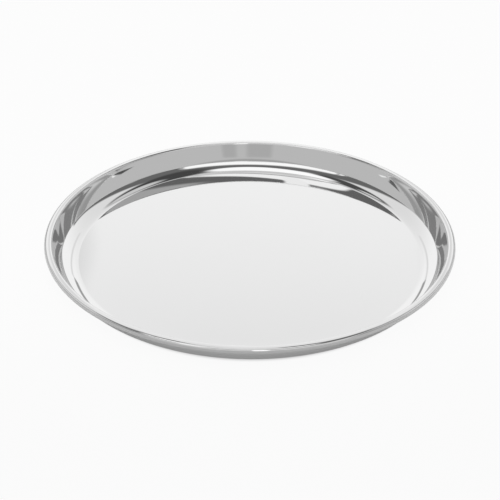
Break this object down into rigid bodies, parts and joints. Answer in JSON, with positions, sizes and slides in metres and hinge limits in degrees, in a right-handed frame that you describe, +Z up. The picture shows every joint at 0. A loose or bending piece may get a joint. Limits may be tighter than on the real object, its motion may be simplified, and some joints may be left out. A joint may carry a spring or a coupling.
{
  "type": "round serving tray",
  "caption": "Round polished steel serving tray with a flat floor, a shallow cove, a steep wall and a narrow level lip whose edge is rolled round an enclosed wire.",
  "frame": {"origin": "centre of the tray's underside, on the surface it stands on", "axes": "+Z up along the axis of the round tray; X and Y are free, because the tray is round"},
  "size_m": [0.38, 0.38, 0.0248],
  "materials": {
    "polished_sheet": "mirror polished stainless steel sheet",
    "drawn_wire": "plain drawn steel wire"
  },
  "bodies": {
    "root": {"tray_pan": "polished_sheet", "rim_wire": "drawn_wire"}
  },
  "joints": []
}
